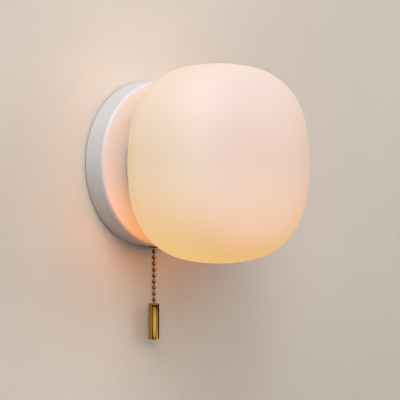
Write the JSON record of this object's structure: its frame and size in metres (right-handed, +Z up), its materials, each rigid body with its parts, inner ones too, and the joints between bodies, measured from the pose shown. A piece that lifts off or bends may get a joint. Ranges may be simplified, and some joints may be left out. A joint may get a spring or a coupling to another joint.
{
  "type": "pull-chain wall light",
  "caption": "Round wall light with an opal glass shade in a rounded-cube form and a ball-chain pull switch ending in a small brass cylinder.",
  "frame": {"origin": "centre of the bracket's back face, on the wall", "axes": "+Z up, -Y out of the wall towards the room, +X to the right seen from the room"},
  "size_m": [0.1324, 0.1141, 0.191],
  "materials": {
    "white_paint": "satin white powder coat",
    "opal_glass": "opal triplex glass, fire-polished gloss",
    "zinc": "bright zinc-plated steel",
    "steel": "spring steel",
    "aluminium": "turned, satin",
    "aged_brass": "lightly aged, fine turning lines",
    "chain_brass": "aged beads",
    "contact_brass": "bright",
    "rubber": "matte black silicone",
    "foam": "closed-cell foam",
    "ceramic": "white steatite",
    "frosted_glass": "frosted",
    "nylon": "moulded nylon",
    "bakelite": "moulded phenolic",
    "wire_blue": "PVC insulation",
    "wire_black": "PVC insulation",
    "wire_brown": "PVC insulation",
    "wire_green": "PVC insulation"
  },
  "bodies": {
    "fixture": {"wall_bracket": "zinc", "base_housing": "white_paint", "wall_gasket": "foam", "canopy_screw_left": "zinc", "canopy_screw_right": "zinc", "earth_screw": "contact_brass", "gallery_ring": "aluminium", "gallery_screw_1": "zinc", "gallery_screw_2": "zinc", "gallery_screw_3": "zinc", "gallery_screw_4": "zinc", "holder_bracket": "zinc", "holder_screw_left": "zinc", "holder_screw_right": "zinc", "holder_contact_left": "contact_brass", "holder_contact_right": "contact_brass", "lampholder_body": "ceramic", "switch_case": "bakelite", "switch_cover": "bakelite", "cover_screw_1": "zinc", "cover_screw_2": "zinc", "switch_nozzle": "aged_brass", "nozzle_locknut": "zinc", "nozzle_nut": "aged_brass", "lever_pin": "steel", "return_spring": "steel", "contact_leaf_left": "contact_brass", "contact_leaf_right": "contact_brass", "terminal_block": "nylon", "terminal_screw_1": "contact_brass", "terminal_screw_2": "contact_brass", "terminal_screw_3": "contact_brass", "terminal_screw_4": "contact_brass", "terminal_screw_5": "contact_brass", "terminal_screw_6": "contact_brass", "terminal_mount_screw": "zinc", "wire_grommet": "rubber", "wire_neutral": "wire_blue", "wire_switched": "wire_black", "wire_live": "wire_brown", "wire_earth": "wire_green"},
    "shade_thread": {"neck_seal": "rubber"},
    "shade": {"glass_shade": "opal_glass"},
    "lamp": {"lamp_base": "ceramic", "lamp_envelope": "frosted_glass"},
    "switch_lever": {"pull_lever": "steel"},
    "switch_rotor": {"ratchet_rotor": "nylon", "rotor_contact": "contact_brass"},
    "chain_top": {"chain_inner": "chain_brass"},
    "chain_link": {"chain_lead_bead": "chain_brass"},
    "chain": {"ball_chain": "chain_brass"},
    "pull": {"pull_weight": "aged_brass", "pull_collar": "aged_brass"}
  },
  "joints": [
    {"name": "chain_pull", "type": "slide", "parent": "fixture", "child": "chain_top", "axis": [0, 0, -1], "range_m": [0, 0.008], "stiffness_N_per_m": 250, "springref_m": -0.002},
    {"name": "lever_turn", "type": "hinge", "parent": "fixture", "child": "switch_lever", "pos_m": [-0.012, -0.0068, -0.04], "axis": [0, 1, 0], "range_deg": [0, 40]},
    {"name": "rotor_turn", "type": "hinge", "parent": "fixture", "child": "switch_rotor", "pos_m": [-0.012, -0.0098, -0.04], "axis": [0, -1, 0], "continuous": true},
    {"name": "chain_swing", "type": "hinge", "parent": "chain_top", "child": "chain_link", "pos_m": [0, -0.0068, -0.0602], "axis": [0, 1, 0], "range_deg": [-50, 50]},
    {"name": "chain_sway", "type": "hinge", "parent": "chain_link", "child": "chain", "pos_m": [0, -0.0068, -0.0602], "axis": [-1, 0, 0], "range_deg": [-2.5, 50]},
    {"name": "pull_spin", "type": "hinge", "parent": "chain", "child": "pull", "pos_m": [0, -0.0068, -0.1], "axis": [0, 0, 1], "continuous": true},
    {"name": "shade_turn", "type": "hinge", "parent": "fixture", "child": "shade_thread", "pos_m": [0, -0.02, 0], "axis": [0, -1, 0], "range_deg": [0, 540]},
    {"name": "shade_out", "type": "slide", "parent": "shade_thread", "child": "shade", "axis": [0, -1, 0], "range_m": [0, 0.0061]},
    {"name": "lamp_pull", "type": "slide", "parent": "fixture", "child": "lamp", "axis": [0, -1, 0], "range_m": [0, 0.015]}
  ],
  "couplings": [
    {"joint": "lever_turn", "follows": "chain_pull", "rad_per_m": 87.266},
    {"joint": "shade_out", "follows": "shade_turn", "m_per_rad": 0.00063662}
  ]
}
